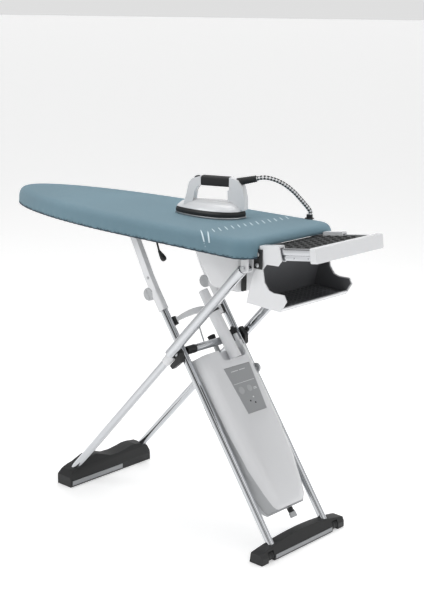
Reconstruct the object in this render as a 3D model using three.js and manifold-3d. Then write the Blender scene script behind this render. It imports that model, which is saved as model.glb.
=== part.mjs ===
// Steam ironing system: a padded board on a folding X frame, with the steam generator hung between
// the tubes of the rear leg, a fan under the board, a pull-out iron rest, a storage compartment and
// the tethered steam iron. Millimetres, +Z up, board length along X (nose at -X), floor at Z = 0.
import * as THREE from 'three';
import { mergeVertices } from 'three/addons/utils/BufferGeometryUtils.js';
import Module from 'manifold-3d';

const wasm = await Module();
wasm.setup();

// ---------------------------------------------------------------- driving dimensions
const FIT = 0.3;                       // gap between touching pieces
const BOARD_TOP = 935.5;               // height of the cover's upper surface
const HALF_BOARD = 600;                // middle of the design length to the tail
const NOSE_START = 100;                // where the nose's ellipse begins
const NOSE_LENGTH = 678;               // long half-axis of the nose's ellipse
const HALF_WIDTH_TAIL = 210;           // half of the board's width at the tail
const WIDTH_TAPER = 20;                // how much narrower the half-width is towards the nose
const TAIL_CORNER = 55;                // radius of the tail's corners
const HEM_Z = 882;                     // lower edge of the cover
const DECK_BOTTOM = 910.5;             // underside of the board's metal deck
const CLOTH = 2.5;                     // thickness of the cover

const CROSSING = new THREE.Vector3(287.6, 0, 543);   // axle where the two legs cross
const LEG_A_TILT = -35.2;              // rear leg, degrees from vertical, about Y
const LEG_B_TILT = 42.7;               // front leg, degrees from vertical, about Y
const TUBE_A_Y = 123.5;                // rear leg's tube centres
const TUBE_A_R = 12;
const TUBE_B_Y = 168;                  // front leg's upper tube centres
const TUBE_B_R = 15;
const THIN_B_Y = 150;                  // front leg's lower tube centres
const THIN_B_R = 12.5;
const TUBE_B_OFFSET = -7.8;            // front leg's tube line, beside the crossing axle
const TAIL_PIVOT_S = 420.3;            // crossing axle to tail pivot, along the front leg
const ARM_TOP = { n: 19.9, s: 410.8 }; // pin of the sliding end of the rear leg

const TRAY_ORIGIN = new THREE.Vector3(600, 0, 907);  // mat surface where it leaves the board
const TRAY_TILT = -7.7;
const TRAY_REACH = 198;                // tray origin to the outer face of its bar
const TRAY_BAR_DROP = 37;              // mat surface to the bar's lower edge
const TRAY_HALF = 152;                 // half-width of the bar and of the slot it closes
const TRAY_INNER = -24;                // inner end of the plate, clear of the fan when pushed in

const IRON_TIP = new THREE.Vector3(162, -31, BOARD_TOP + 0.4);
const IRON_HEADING = 22;               // degrees, tip to heel, from +X towards +Y
const HOSE_R = 6.5;

const SIDES = 20;                      // facets of a round tube
const NEAR_FAR = [['near', -1], ['far', 1]];
const rad = THREE.MathUtils.degToRad;

// ---------------------------------------------------------------- materials
const paint = (color, roughness, metalness) =>
  new THREE.MeshStandardMaterial({ color, roughness, metalness });
const white = paint(0xe9eaea, 0.35, 0.0);
const warmGrey = paint(0xb9babb, 0.5, 0.0);
const black = paint(0x17181a, 0.55, 0.0);
const rubber = paint(0x202123, 0.85, 0.0);
const chrome = paint(0xc9ccce, 0.15, 1.0);
const steel = paint(0x9a9da0, 0.35, 1.0);
const brass = paint(0xb08d4a, 0.3, 1.0);
const silver = paint(0x9b9d9f, 0.35, 0.6);
const fabric = paint(0x67838f, 0.9, 0.0);
const felt = paint(0xcfcac0, 1.0, 0.0);
const braid = paint(0x3b3c3e, 0.8, 0.0);

// ---------------------------------------------------------------- geometry helpers
function bare(geometry) {
  const g = geometry.clone();
  g.deleteAttribute('normal');
  g.deleteAttribute('uv');
  return mergeVertices(g, 1e-3);
}

function toManifold(geometry) {
  const g = bare(geometry);
  return new wasm.Manifold(new wasm.Mesh({
    numProp: 3,
    vertProperties: new Float32Array(g.attributes.position.array),
    triVerts: new Uint32Array(g.index.array),
  }));
}

function fromManifold(manifold) {
  const mesh = manifold.getMesh();
  const g = new THREE.BufferGeometry();
  g.setAttribute('position', new THREE.BufferAttribute(new Float32Array(mesh.vertProperties), 3));
  g.setIndex(new THREE.BufferAttribute(new Uint32Array(mesh.triVerts), 1));
  return g;
}

const cut = (body, ...tools) =>
  fromManifold(tools.reduce((m, tool) => m.subtract(toManifold(tool)), toManifold(body)));
const join = (body, ...others) =>
  fromManifold(others.reduce((m, other) => m.add(toManifold(other)), toManifold(body)));
const common = (body, other) => fromManifold(toManifold(body).intersect(toManifold(other)));

// Axis-aligned block between two corners.
function block(x0, x1, y0, y1, z0, z1) {
  const g = new THREE.BoxGeometry(x1 - x0, y1 - y0, z1 - z0);
  return g.translate((x0 + x1) / 2, (y0 + y1) / 2, (z0 + z1) / 2);
}

// Round bar between two points.
function rod(from, to, radius, sides = SIDES, topRadius = radius) {
  const a = new THREE.Vector3(...from);
  const span = new THREE.Vector3(...to).sub(a);
  const g = new THREE.CylinderGeometry(topRadius, radius, span.length(), sides);
  g.translate(0, span.length() / 2, 0);
  g.applyQuaternion(new THREE.Quaternion().setFromUnitVectors(
    new THREE.Vector3(0, 1, 0), span.clone().normalize()));
  return g.translate(a.x, a.y, a.z);
}

// Interval a..b on the far side (sign 1) or mirrored to the near side (sign -1).
const between = (a, b, sign) => [sign * a, sign * b].sort((p, q) => p - q);
const rodY = (x, z, y0, y1, radius, sides = SIDES) => rod([x, y0, z], [x, y1, z], radius, sides);

// Flat outline pushed along an axis. Outline pairs are (y,z), (x,z) or (x,y) for axis x, y, z.
const PRISM_BASIS = {
  x: [[0, 1, 0], [0, 0, 1], [1, 0, 0]],
  y: [[1, 0, 0], [0, 0, 1], [0, -1, 0]],
  z: [[1, 0, 0], [0, 1, 0], [0, 0, 1]],
};
function prism(outline, axis, from, to, curveSegments = 6) {
  const shape = outline instanceof THREE.Shape ? outline
    : new THREE.Shape(outline.map(([a, b]) => new THREE.Vector2(a, b)));
  const g = new THREE.ExtrudeGeometry(shape, { depth: to - from, bevelEnabled: false, curveSegments });
  const [ex, ey, ez] = PRISM_BASIS[axis].map((v) => new THREE.Vector3(...v));
  g.applyMatrix4(new THREE.Matrix4().makeBasis(ex, ey, ez));
  const start = axis === 'y' ? to : from;
  return g.translate(axis === 'x' ? start : 0, axis === 'y' ? start : 0, axis === 'z' ? start : 0);
}

function roundedRect(x0, x1, y0, y1, r) {
  const s = new THREE.Shape();
  s.moveTo(x0 + r, y0);
  s.lineTo(x1 - r, y0);
  s.absarc(x1 - r, y0 + r, r, -Math.PI / 2, 0);
  s.lineTo(x1, y1 - r);
  s.absarc(x1 - r, y1 - r, r, 0, Math.PI / 2);
  s.lineTo(x0 + r, y1);
  s.absarc(x0 + r, y1 - r, r, Math.PI / 2, Math.PI);
  s.lineTo(x0, y0 + r);
  s.absarc(x0 + r, y0 + r, r, Math.PI, 1.5 * Math.PI);
  return s;
}

// Closed skin through rings of equal point count, capped with fans at both ends.
function loft(rings) {
  const n = rings[0].length;
  const points = rings.flat();
  const index = [];
  for (let r = 0; r < rings.length - 1; r++) {
    for (let i = 0; i < n; i++) {
      const a = r * n + i;
      const b = r * n + ((i + 1) % n);
      index.push(a, b, a + n, b, b + n, a + n);
    }
  }
  for (const [ring, first, flip] of [[rings[0], 0, true], [rings.at(-1), (rings.length - 1) * n, false]]) {
    const centre = ring.reduce((c, p) => c.add(p), new THREE.Vector3()).divideScalar(n);
    const c = points.push(centre) - 1;
    for (let i = 0; i < n; i++) {
      const a = first + i;
      const b = first + ((i + 1) % n);
      index.push(...(flip ? [b, a, c] : [a, b, c]));
    }
  }
  const g = new THREE.BufferGeometry();
  g.setAttribute('position', new THREE.Float32BufferAttribute(points.flatMap((p) => p.toArray()), 3));
  g.setIndex(index);
  return g;
}

// Band of even thickness to the left of a polyline, as an outline.
function ribbon(path, thickness) {
  const points = path.map(([x, y]) => new THREE.Vector2(x, y));
  const normal = (a, b) => new THREE.Vector2(a.y - b.y, b.x - a.x).normalize();
  const inner = points.map((p, i) => {
    const before = i > 0 ? normal(points[i - 1], p) : normal(p, points[i + 1]);
    const after = i < points.length - 1 ? normal(p, points[i + 1]) : before;
    const mitre = before.clone().add(after).normalize();
    return p.clone().addScaledVector(mitre, thickness / Math.max(mitre.dot(before), 0.5));
  });
  const pairs = inner.map((p) => [p.x, p.y]);
  return { outline: [...path, ...pairs.slice().reverse()], inner: pairs };
}

function lathe(profile, sides = SIDES) {
  return new THREE.LatheGeometry(profile.map(([r, h]) => new THREE.Vector2(r, h)), sides);
}

function add(parent, name, geometry, material) {
  const mesh = new THREE.Mesh(geometry, material);
  mesh.name = name;
  parent.add(mesh);
  return mesh;
}

const object = new THREE.Group();
const board = new THREE.Group();
const legA = new THREE.Group();
const legB = new THREE.Group();
const tray = new THREE.Group();
const iron = new THREE.Group();
legA.position.copy(CROSSING);
legA.rotation.y = rad(LEG_A_TILT);
legB.position.copy(CROSSING);
legB.rotation.y = rad(LEG_B_TILT);
tray.position.copy(TRAY_ORIGIN);
tray.rotation.y = rad(TRAY_TILT);
iron.position.copy(IRON_TIP);
iron.rotation.z = rad(IRON_HEADING);
object.add(board, legA, legB, tray, iron);

// ---------------------------------------------------------------- board: cover, pad, deck
const boardHalfWidth = (x) =>
  HALF_WIDTH_TAIL - WIDTH_TAPER * (HALF_BOARD - x) / (2 * HALF_BOARD);

// Plan of the board, moved inwards by an inset, at a height: elliptic nose and round tail corners.
function boardRing(inset, z) {
  const half = [];
  const noseSteps = 13;
  for (let i = 1; i <= noseSteps; i++) {
    const a = (Math.PI / 2) * (i / noseSteps) ** 1.35;
    const x = NOSE_START - (NOSE_LENGTH - inset) * Math.cos(a);
    half.push([x, (boardHalfWidth(x) - inset) * Math.sin(a)]);
  }
  const r = Math.max(TAIL_CORNER - inset, 6);
  const centre = [HALF_BOARD - inset - r, HALF_WIDTH_TAIL - inset - r];
  const cornerSteps = 5;
  for (let i = 0; i <= cornerSteps; i++) {
    const a = (Math.PI / 2) * (1 - i / cornerSteps);
    half.push([centre[0] + r * Math.cos(a), centre[1] + r * Math.sin(a)]);
  }
  const near = half.map(([x, y]) => new THREE.Vector3(x, -y, z));
  const far = half.slice().reverse().map(([x, y]) => new THREE.Vector3(x, y, z));
  return [new THREE.Vector3(NOSE_START - (NOSE_LENGTH - inset), 0, z), ...near, ...far];
}

const SOCKET = { x: 505, y: 188, r: 9.5, bottom: 884, top: 948 };
const eyelet = () =>
  rod([SOCKET.x, SOCKET.y, 900], [SOCKET.x, SOCKET.y, 950], SOCKET.r + FIT, 16);

function coverGeometry() {
  const outer = [[0, HEM_Z], [0, 905], [4, 919], [12, 929], [26, 934.3], [46, BOARD_TOP]];
  const inner = outer.map(([inset, z], i) => (i < 2 ? [inset + CLOTH, z]
    : [inset + CLOTH * 0.8, z - CLOTH]));
  const rings = [...inner.slice().reverse(), ...outer].map(([inset, z]) => boardRing(inset, z));
  const slot = block(HALF_BOARD - 14, HALF_BOARD + 6, -TRAY_HALF, TRAY_HALF, HEM_Z - 10, 912);
  return cut(loft(rings), slot, eyelet());
}

function padGeometry() {
  const rings = [[17, 924.9], [19, 926], [31, 930.8], [48, 932.4]];
  return cut(loft(rings.map(([inset, z]) => boardRing(inset, z))), eyelet());
}

// The deck carries the release lever's forked bracket on its underside.
const LEVER = { x: 142, y: -100, z: 884 };
function deckGeometry() {
  const rings = [[7, DECK_BOTTOM], [7, 914], [14.5, 924.4]];
  const plate = loft(rings.map(([inset, z]) => boardRing(inset, z)));
  const bracket = block(LEVER.x - 13, LEVER.x + 13, LEVER.y - 9, LEVER.y + 9, LEVER.z - 7, DECK_BOTTOM + 2);
  const fork = block(LEVER.x - 20, LEVER.x + 20, LEVER.y - 4.5, LEVER.y + 4.5, 870, LEVER.z + 10);
  return cut(join(plate, bracket), fork, eyelet());
}

add(board, 'board_cover', coverGeometry(), fabric);
add(board, 'board_pad', padGeometry(), felt);
add(board, 'board_deck', deckGeometry(), steel);

// ---------------------------------------------------------------- fan under the board
const FAN = { x0: 292, x1: 486, halfY: 98, bottom: 752, wall: 3, centreX: 424, shoulder: 850, slope: 64 };

// The wall towards the nose slopes in below the shoulder.
function fanRing(inset, z, taper, nose) {
  const shape = roundedRect(FAN.x0 + inset + taper + nose, FAN.x1 - inset - taper,
    -FAN.halfY + inset + taper, FAN.halfY - inset - taper, 20 - inset);
  return shape.getPoints(4).slice(0, -1).map((p) => new THREE.Vector3(p.x, p.y, z));
}

function fanHousingGeometry() {
  const top = DECK_BOTTOM - FIT;
  const { bottom, wall } = FAN;
  const shell = loft([
    fanRing(0, bottom, 9, FAN.slope), fanRing(0, bottom + 5, 5, FAN.slope - 3),
    fanRing(0, FAN.shoulder, 2, 0), fanRing(0, top, 0, 0), fanRing(wall, top, 0, 0),
    fanRing(wall, FAN.shoulder, 2, 0), fanRing(wall, bottom + wall, 7, FAN.slope - 1)]);
  const slots = [-2, -1, 0, 1, 2].map((i) =>
    block(FAN.centreX - 36, FAN.centreX + 36, i * 14 - 4, i * 14 + 4, bottom - 5, bottom + 8));
  return cut(shell, ...slots);
}

function impellerGeometry() {
  const hubTop = 812;
  const disc = rod([FAN.centreX, 0, 772], [FAN.centreX, 0, 775], 50, 24);
  const hub = rod([FAN.centreX, 0, 772], [FAN.centreX, 0, hubTop], 16, 16);
  const blades = Array.from({ length: 8 }, (_, i) => {
    const blade = block(14, 48, -1.5, 1.5, 774, hubTop - 4);
    blade.rotateZ(rad(20)).rotateZ(i * Math.PI / 4);
    return blade.translate(FAN.centreX, 0, 0);
  });
  const bore = rod([FAN.centreX, 0, 760], [FAN.centreX, 0, 830], 4.4, 12);
  return cut(join(disc, hub, ...blades), bore);
}

add(board, 'fan_housing', fanHousingGeometry(), white);
add(board, 'fan_impeller', impellerGeometry(), black);
add(board, 'fan_motor', join(rod([FAN.centreX, 0, 826], [FAN.centreX, 0, DECK_BOTTOM - FIT], 30),
  rod([FAN.centreX, 0, 778], [FAN.centreX, 0, 830], 4, 12)), steel);
add(board, 'hose_socket', join(
  rod([SOCKET.x, SOCKET.y, SOCKET.bottom], [SOCKET.x, SOCKET.y, SOCKET.top], SOCKET.r, 16),
  rod([SOCKET.x, SOCKET.y, SOCKET.bottom], [SOCKET.x, SOCKET.y, SOCKET.bottom + 14], 14, 16)), black);

// ---------------------------------------------------------------- runner rails of the rear leg
const RAIL = { inner: 62, outer: 83, x0: -235, x1: 165, floor: 878.5, roof: 902, end: 4, lip: 2.5 };
const railOutline = new THREE.Shape([
  new THREE.Vector2(RAIL.x0, RAIL.floor - RAIL.lip), new THREE.Vector2(RAIL.x1, RAIL.floor - RAIL.lip),
  new THREE.Vector2(RAIL.x1, DECK_BOTTOM - FIT), new THREE.Vector2(RAIL.x0, DECK_BOTTOM - FIT)]);
railOutline.holes.push(new THREE.Path([
  new THREE.Vector2(RAIL.x0 + RAIL.end, RAIL.floor), new THREE.Vector2(RAIL.x0 + RAIL.end, RAIL.roof),
  new THREE.Vector2(RAIL.x1 - RAIL.end, RAIL.roof), new THREE.Vector2(RAIL.x1 - RAIL.end, RAIL.floor)]));

for (const [side, sign] of NEAR_FAR) {
  add(board, `runner_rail_${side}`, prism(railOutline, 'y', ...between(RAIL.inner, RAIL.outer, sign)), steel);
}

// ---------------------------------------------------------------- tail brackets and their pins
const tailPivot = new THREE.Vector3(0, 0, TAIL_PIVOT_S)
  .applyAxisAngle(new THREE.Vector3(0, 1, 0), rad(LEG_B_TILT)).add(CROSSING);
const CLEVIS_R = 13;

for (const [side, sign] of NEAR_FAR) {
  const centreY = sign * TUBE_B_Y;
  const plate = new THREE.Shape();
  plate.moveTo(tailPivot.x + CLEVIS_R, DECK_BOTTOM - FIT);
  plate.lineTo(tailPivot.x - CLEVIS_R, DECK_BOTTOM - FIT);
  plate.lineTo(tailPivot.x - CLEVIS_R, tailPivot.z);
  plate.absarc(tailPivot.x, tailPivot.z, CLEVIS_R, Math.PI, 2 * Math.PI);
  const clevis = cut(prism(plate, 'y', centreY - 13, centreY + 13),
    block(tailPivot.x - 20, tailPivot.x + 20, centreY - 8, centreY + 8, 800, 894));
  const pin = rodY(tailPivot.x, tailPivot.z, centreY - 13, centreY + 13, 4, 14);
  const head = rodY(tailPivot.x, tailPivot.z, ...between(TUBE_B_Y + 12.5, TUBE_B_Y + 17, sign), 7.5, 14);
  add(board, `tail_bracket_${side}`, join(clevis, pin, head), white);
}

// ---------------------------------------------------------------- release lever
const leverKnob = new THREE.Vector3(163, LEVER.y, 827);
const leverEnd = new THREE.Vector3(187, LEVER.y, 801);
const knob = lathe([[0, -4], [3.5, -2], [6, 9], [9, 22], [9.4, 28], [7, 34], [0, 36]], 14);
knob.applyQuaternion(new THREE.Quaternion().setFromUnitVectors(
  new THREE.Vector3(0, 1, 0), leverEnd.clone().sub(leverKnob).normalize()));
knob.translate(...leverKnob.toArray());
add(board, 'release_lever', join(knob, rodY(LEVER.x, LEVER.z, LEVER.y - 4, LEVER.y + 4, 6, 14),
  rod([LEVER.x, LEVER.y, LEVER.z], leverKnob.toArray(), 3, 12)), black);

// ---------------------------------------------------------------- storage compartment
const COMPARTMENT_HALF = 150;
const sidePanel = [[556, 748], [679, 743], [700, 776], [690, 793], [654, 792], [636, 797], [620, 817],
  [613, 852], [626, 868], [668, 870], [677, 884], [606, 884], [596, 862], [577, 826], [563, 776]];
const wrapPath = [[685.4, 753.1], [679, 743], [556, 748], [563, 776], [577, 826], [596, 862], [603, 875]];
const wrapBack = wrapPath.slice().reverse();

// Guide at each upper corner, in which a side rail of the iron rest slides.
const trayToWorld = new THREE.Matrix4().compose(TRAY_ORIGIN,
  new THREE.Quaternion().setFromAxisAngle(new THREE.Vector3(0, 1, 0), rad(TRAY_TILT)),
  new THREE.Vector3(1, 1, 1));
const GUIDE = { inner: 128.8, outer: 151.5, wall: 3.5 };

function railGuide(sign) {
  const body = prism([[602, 881], [677, 881], [681, 887], [670, 926.5], [602, 917]], 'y',
    ...between(GUIDE.inner, GUIDE.outer, sign));
  const tunnel = block(-140, 260, ...between(GUIDE.inner + GUIDE.wall, GUIDE.outer - GUIDE.wall, sign),
    -60, 4).applyMatrix4(trayToWorld);
  return cut(body, tunnel);
}

function compartmentShell() {
  const wrap = prism(ribbon(wrapBack, 3.5).outline, 'y', -COMPARTMENT_HALF, COMPARTMENT_HALF);
  const sides = NEAR_FAR.map(([, sign]) =>
    prism(sidePanel, 'y', ...between(COMPARTMENT_HALF - 3.5, COMPARTMENT_HALF, sign)));
  return join(wrap, ...sides, ...NEAR_FAR.map(([, sign]) => railGuide(sign)));
}

function compartmentLiner() {
  const half = COMPARTMENT_HALF - 3.8;
  const { inner } = ribbon(wrapBack, 3.8);
  const wrap = prism(ribbon(inner, 2.5).outline, 'y', -half, half);
  const cheek = [...inner, [695.8, 776.5], [690, 790.5], [653, 789.5], [633.5, 795.5], [617.5, 816],
    [610.5, 851], [618, 872]];
  const cheeks = NEAR_FAR.map(([, sign]) => prism(cheek, 'y', ...between(half - 2.5, half, sign)));
  return join(wrap, ...cheeks);
}

add(board, 'compartment_shell', compartmentShell(), white);
add(board, 'compartment_liner', compartmentLiner(), black);

// ---------------------------------------------------------------- pull-out iron rest
const BAR = { depth: 22, rise: 5 };
const barBack = TRAY_REACH - BAR.depth;
const barOutline = roundedRect(-TRAY_HALF, TRAY_HALF, -TRAY_BAR_DROP, BAR.rise, 4);
add(tray, 'tray_bar', prism(barOutline, 'x', barBack, TRAY_REACH, 3), white);
add(tray, 'tray_plate', block(TRAY_INNER, barBack - FIT, -127, 127, -9, -3.3), black);
add(tray, 'tray_mat', block(TRAY_INNER + 3, barBack - 1, -124, 124, -3, 0), rubber);
for (const [side, sign] of NEAR_FAR) {
  const rail = prism(roundedRect(...between(134, 145, sign), -18, 2, 5), 'x', -45, barBack - FIT, 3);
  const strip = block(20, barBack - FIT, ...between(136, 142, sign), -31, -17);
  const screws = [70, 112, 160].map((x) => rodY(x, -25, ...between(141, 143.5, sign), 2.6, 8));
  add(tray, `tray_rail_${side}`, join(rail, strip, ...screws), chrome);
}

// ---------------------------------------------------------------- front leg
const LEG_B_FOOT_S = -690;
for (const [side, sign] of NEAR_FAR) {
  const n = TUBE_B_OFFSET;
  const bore = rod([n, sign * TUBE_B_Y, -9], [n, sign * TUBE_B_Y, 18], TUBE_B_R - 2, SIDES);
  const tube = cut(rod([n, sign * TUBE_B_Y, -8], [n, sign * TUBE_B_Y, 403.6], TUBE_B_R), bore);
  const eye = new THREE.Shape();
  eye.moveTo(n - 7, 400);
  eye.lineTo(n + 13, 400);
  eye.lineTo(n + 13, 404);
  eye.lineTo(12, TAIL_PIVOT_S);
  eye.absarc(0, TAIL_PIVOT_S, 12, 0, Math.PI);
  eye.lineTo(-12, TAIL_PIVOT_S);
  const eyeFaces = [sign * TUBE_B_Y - 6, sign * TUBE_B_Y + 6];
  add(legB, `leg_b_tube_${side}`, cut(join(tube, prism(eye, 'y', ...eyeFaces)),
    rodY(0, TAIL_PIVOT_S, eyeFaces[0] - 5, eyeFaces[1] + 5, 4.4, 14)), chrome);
  add(legB, `leg_b_thin_tube_${side}`, join(
    rod([n, sign * THIN_B_Y, LEG_B_FOOT_S], [n, sign * THIN_B_Y, -54], THIN_B_R),
    rod([n, sign * THIN_B_Y, -55], [n, sign * THIN_B_Y, -18], 14, SIDES, 13)), chrome);
  const plate = [[-22, 16], [10, 16], [30, -4], [24, -50], [10, -50], [9, -17], [-22, -17]];
  add(legB, `pivot_block_${side}`, cut(prism(plate, 'y', ...between(136, 152.5, sign)),
    rodY(0, 0, ...between(130, 160, sign), 5.4, 14)), black);
}

// ---------------------------------------------------------------- rear leg
const SLEEVE = { s0: 138.3, s1: 202.7 };
const DISC = { n: -24.2, s: 204.4, r: 20, half: 9 };
for (const [side, sign] of NEAR_FAR) {
  const y = sign * TUBE_A_Y;
  const tubeA = cut(rod([0, y, -626], [0, y, 138], TUBE_A_R), rodY(0, 0, y - 20, y + 20, 5.4, 14));
  add(legA, `leg_a_tube_${side}`, tubeA, chrome);
  const discRoom = rodY(DISC.n, DISC.s, y - 20, y + 20, DISC.r + 0.4, 24);
  const sleeve = prism(roundedRect(-14, 14, y - 11, y + 11, 5), 'z', SLEEVE.s0, SLEEVE.s1);
  const arm = new THREE.Shape();
  arm.moveTo(-13, SLEEVE.s1 - 1);
  arm.lineTo(13, SLEEVE.s1 - 1);
  arm.lineTo(15, 250);
  arm.lineTo(ARM_TOP.n + 11, 395);
  arm.absarc(ARM_TOP.n, ARM_TOP.s, 11, 0, Math.PI);
  arm.lineTo(ARM_TOP.n - 12, 395);
  arm.lineTo(-11, 250);
  const pinHole = rodY(ARM_TOP.n, ARM_TOP.s, y - 20, y + 20, 5.4, 14);
  add(legA, `leg_a_arm_${side}`, cut(join(prism(arm, 'y', y - 9, y + 9), sleeve), discRoom, pinHole), white);
  const rim = cut(rodY(DISC.n, DISC.s, y - DISC.half, y + DISC.half, DISC.r, 24),
    rodY(DISC.n, DISC.s, ...between(TUBE_A_Y + 1, TUBE_A_Y + 20, sign), DISC.r - 3.5, 24));
  const spokes = Array.from({ length: 4 }, (_, i) => {
    const spoke = block(-DISC.r + 2, DISC.r - 2, ...between(TUBE_A_Y, TUBE_A_Y + DISC.half - 1, sign), -1, 1);
    return spoke.rotateY(i * Math.PI / 4).translate(DISC.n, 0, DISC.s);
  });
  const hub = rodY(DISC.n, DISC.s, ...between(TUBE_A_Y, TUBE_A_Y + DISC.half, sign), 5.5, 14);
  add(legA, `knuckle_disc_${side}`, join(rim, hub, ...spokes), warmGrey);
  const wheel = cut(rodY(ARM_TOP.n, ARM_TOP.s, ...between(65, 80, sign), 7, 18),
    rodY(ARM_TOP.n, ARM_TOP.s, ...between(58, 90, sign), 3.4, 12));
  add(legA, `runner_wheel_${side}`, wheel, black);
}
add(legA, 'runner_rod', join(rodY(ARM_TOP.n, ARM_TOP.s, -137, 137, 3, 12),
  rodY(ARM_TOP.n, ARM_TOP.s, -58, 58, 5, 12)), steel);
const axleGrips = NEAR_FAR.map(([, sign]) => rodY(0, 0, ...between(72, 111, sign), 13));
add(legA, 'crossing_axle', join(rodY(0, 0, -111, 111, 12), rodY(0, 0, -152, 152, 5, 14), ...axleGrips),
  chrome);

// Arched cross plate between the rear leg's tubes.
const CROSS = { halfY: 99, low: 93, lowRise: 9, high: 105, highRise: 16 };
const crossShape = new THREE.Shape();
const archSteps = 12;
for (let i = 0; i <= archSteps; i++) {
  const y = -CROSS.halfY + (2 * CROSS.halfY * i) / archSteps;
  const rise = CROSS.lowRise * Math.cos((Math.PI / 2) * (y / CROSS.halfY));
  crossShape[i ? 'lineTo' : 'moveTo'](y, CROSS.low + rise);
}
for (let i = archSteps; i >= 0; i--) {
  const y = -CROSS.halfY + (2 * CROSS.halfY * i) / archSteps;
  crossShape.lineTo(y, CROSS.high + CROSS.highRise * Math.cos((Math.PI / 2) * (y / CROSS.halfY)));
}
const crossClamps = NEAR_FAR.map(([, sign]) => block(-10, 10, ...between(96, 111, sign), 84, 110));
add(legA, 'arched_crossmember', join(prism(crossShape, 'x', -6, 6), ...crossClamps), white);

// ---------------------------------------------------------------- steam generator housing
const HOUSING_TOP = -37;
const WALL = 5;
// Cross-sections of the front shell: height s, half-width at the face, depth of the face.
const FRONT_SECTIONS = [[-37, 95, 44], [-60, 96, 45], [-300, 95, 45], [-400, 89, 43], [-480, 79, 38],
  [-525, 70, 33], [-540, 62, 26]];
const SEAM_HALF = 107;
const seamHalfAt = (s) => SEAM_HALF - 24 * Math.max(0, (-s - 480) / 60) ** 2;

function frontRing([s, face, depth], inset) {
  const seam = seamHalfAt(s) - inset;
  const half = [[seam, FIT - (inset ? 2 : 0)], [face + 5 - inset, depth - 20 - inset * 0.6],
    [face - 1 - inset, depth - 7 - inset], [face - 13 - inset, depth - inset],
    [face * 0.5, depth + 2 - inset]];
  const far = half.map(([y, n]) => new THREE.Vector3(n, y, s));
  const near = half.slice().reverse().map(([y, n]) => new THREE.Vector3(n, -y, s));
  return [...far, ...near].reverse();
}

function rearRing(s, inset) {
  const seam = seamHalfAt(s) - inset;
  const depth = -42 + 16 * Math.max(0, (-s - 480) / 65) ** 2 + inset;
  const half = [[seam, -FIT + (inset ? 2 : 0)], [seam - 1, depth + 18], [seam - 10, depth + 5],
    [seam - 24, depth]];
  const far = half.map(([y, n]) => new THREE.Vector3(n, y, s));
  const near = half.slice().reverse().map(([y, n]) => new THREE.Vector3(n, -y, s));
  return [...far, ...near];
}

// Both shells are lofted from the bottom to the top, then hollowed by a smaller copy of themselves.
const frontOuter = loft(FRONT_SECTIONS.slice().reverse().map((section) => frontRing(section, 0)));
const frontInner = loft([[-530, 64, 27], [-480, 79, 38], [-400, 89, 43], [-300, 95, 45], [-60, 96, 45],
  [-42, 96, 44]].map((section) => frontRing(section, WALL)));
const RECESS = { y0: -30, y1: 78, s: -73, r: 16 };
const recess = prism(roundedRect(RECESS.y0, RECESS.y1, RECESS.s, -10, RECESS.r), 'x', 12, 60, 4);
const recessLiner = prism(roundedRect(RECESS.y0 - 3, RECESS.y1 + 3, RECESS.s - 3, -37.2, RECESS.r), 'x',
  9, 42, 4);

// Control panel: a plate let into the front shell, and its two buttons.
const PANEL = [[-44, -96], [70, -98], [56, -248], [-27, -247]];
const PANEL_N = { floor: 42.4, back: 42.8, face: 47.6 };
const panelRoom = prism(PANEL.map(([y, s]) => [y + Math.sign(y) * 0.4, s + (s > -200 ? 0.4 : -0.4)]),
  'x', PANEL_N.floor, 60);
const BUTTONS = { power_button: { y: -14, s: -174, r: 8.5 }, steam_button: { y: 22, s: -174, r: 7 } };
const wiringHole = ([y, s, r]) => rod([30, y, s], [60, y, s], r, 16);

const FILLER = { left: { n: -27, y: 42 }, right: { n: 30, y: 83 } };
const DRAIN_Y = 12;
const SWITCH = { n: 27, s: -118, r: 15 };
const upright = ({ n, y }, s0, s1, r, top = r) => rod([n, y, s0], [n, y, s1], r, 16, top);
const switchRoom = rodY(SWITCH.n, SWITCH.s, 80, 130, 5.4, 12);

const rightNeck = join(upright(FILLER.right, -50, 2, 7), upright(FILLER.right, -41, -22, 11));
const frontShell = cut(join(cut(frontOuter, frontInner), common(recessLiner, frontOuter), rightNeck),
  recess, panelRoom, switchRoom);
const rearOuter = loft([-545, -532, -500, -480, HOUSING_TOP].map((s) => rearRing(s, 0)));
const rearInner = loft([-535, -500, -480, HOUSING_TOP - WALL].map((s) => rearRing(s, WALL - 1)));
const leftNeck = upright(FILLER.left, -48, -2, 8);
const mainsGland = rod([-30, -55, -480], [-62, -55, -480], 8, 14, 5);
const rearShell = join(cut(rearOuter, rearInner), leftNeck, mainsGland);
add(legA, 'generator_front_shell', frontShell, white);
add(legA, 'generator_rear_shell', rearShell, warmGrey);

const panelPlate = prism(PANEL, 'x', PANEL_N.back, PANEL_N.face);
const panelHoles = Object.values(BUTTONS).map(({ y, s, r }) => [y, s, r + 0.4]).map(wiringHole);
add(legA, 'control_panel', cut(panelPlate, ...panelHoles), silver);
for (const [name, { y, s, r }] of Object.entries(BUTTONS)) {
  add(legA, name, rod([44.4, y, s], [48.6, y, s], r, 24), silver);
}

// Boiler and water tank inside the housing.
const boilerProfile = [[0, -112], [22, -110], [30, -98], [30, 98], [22, 110], [0, 112]];
const boiler = lathe(boilerProfile, 24).rotateX(Math.PI / 2).translate(-3, 55, -370);
add(legA, 'boiler', boiler, brass);
const tank = prism(roundedRect(-80, 8, -446, -262, 10), 'x', -30, 21, 3);
add(legA, 'water_tank', tank, felt);

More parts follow.
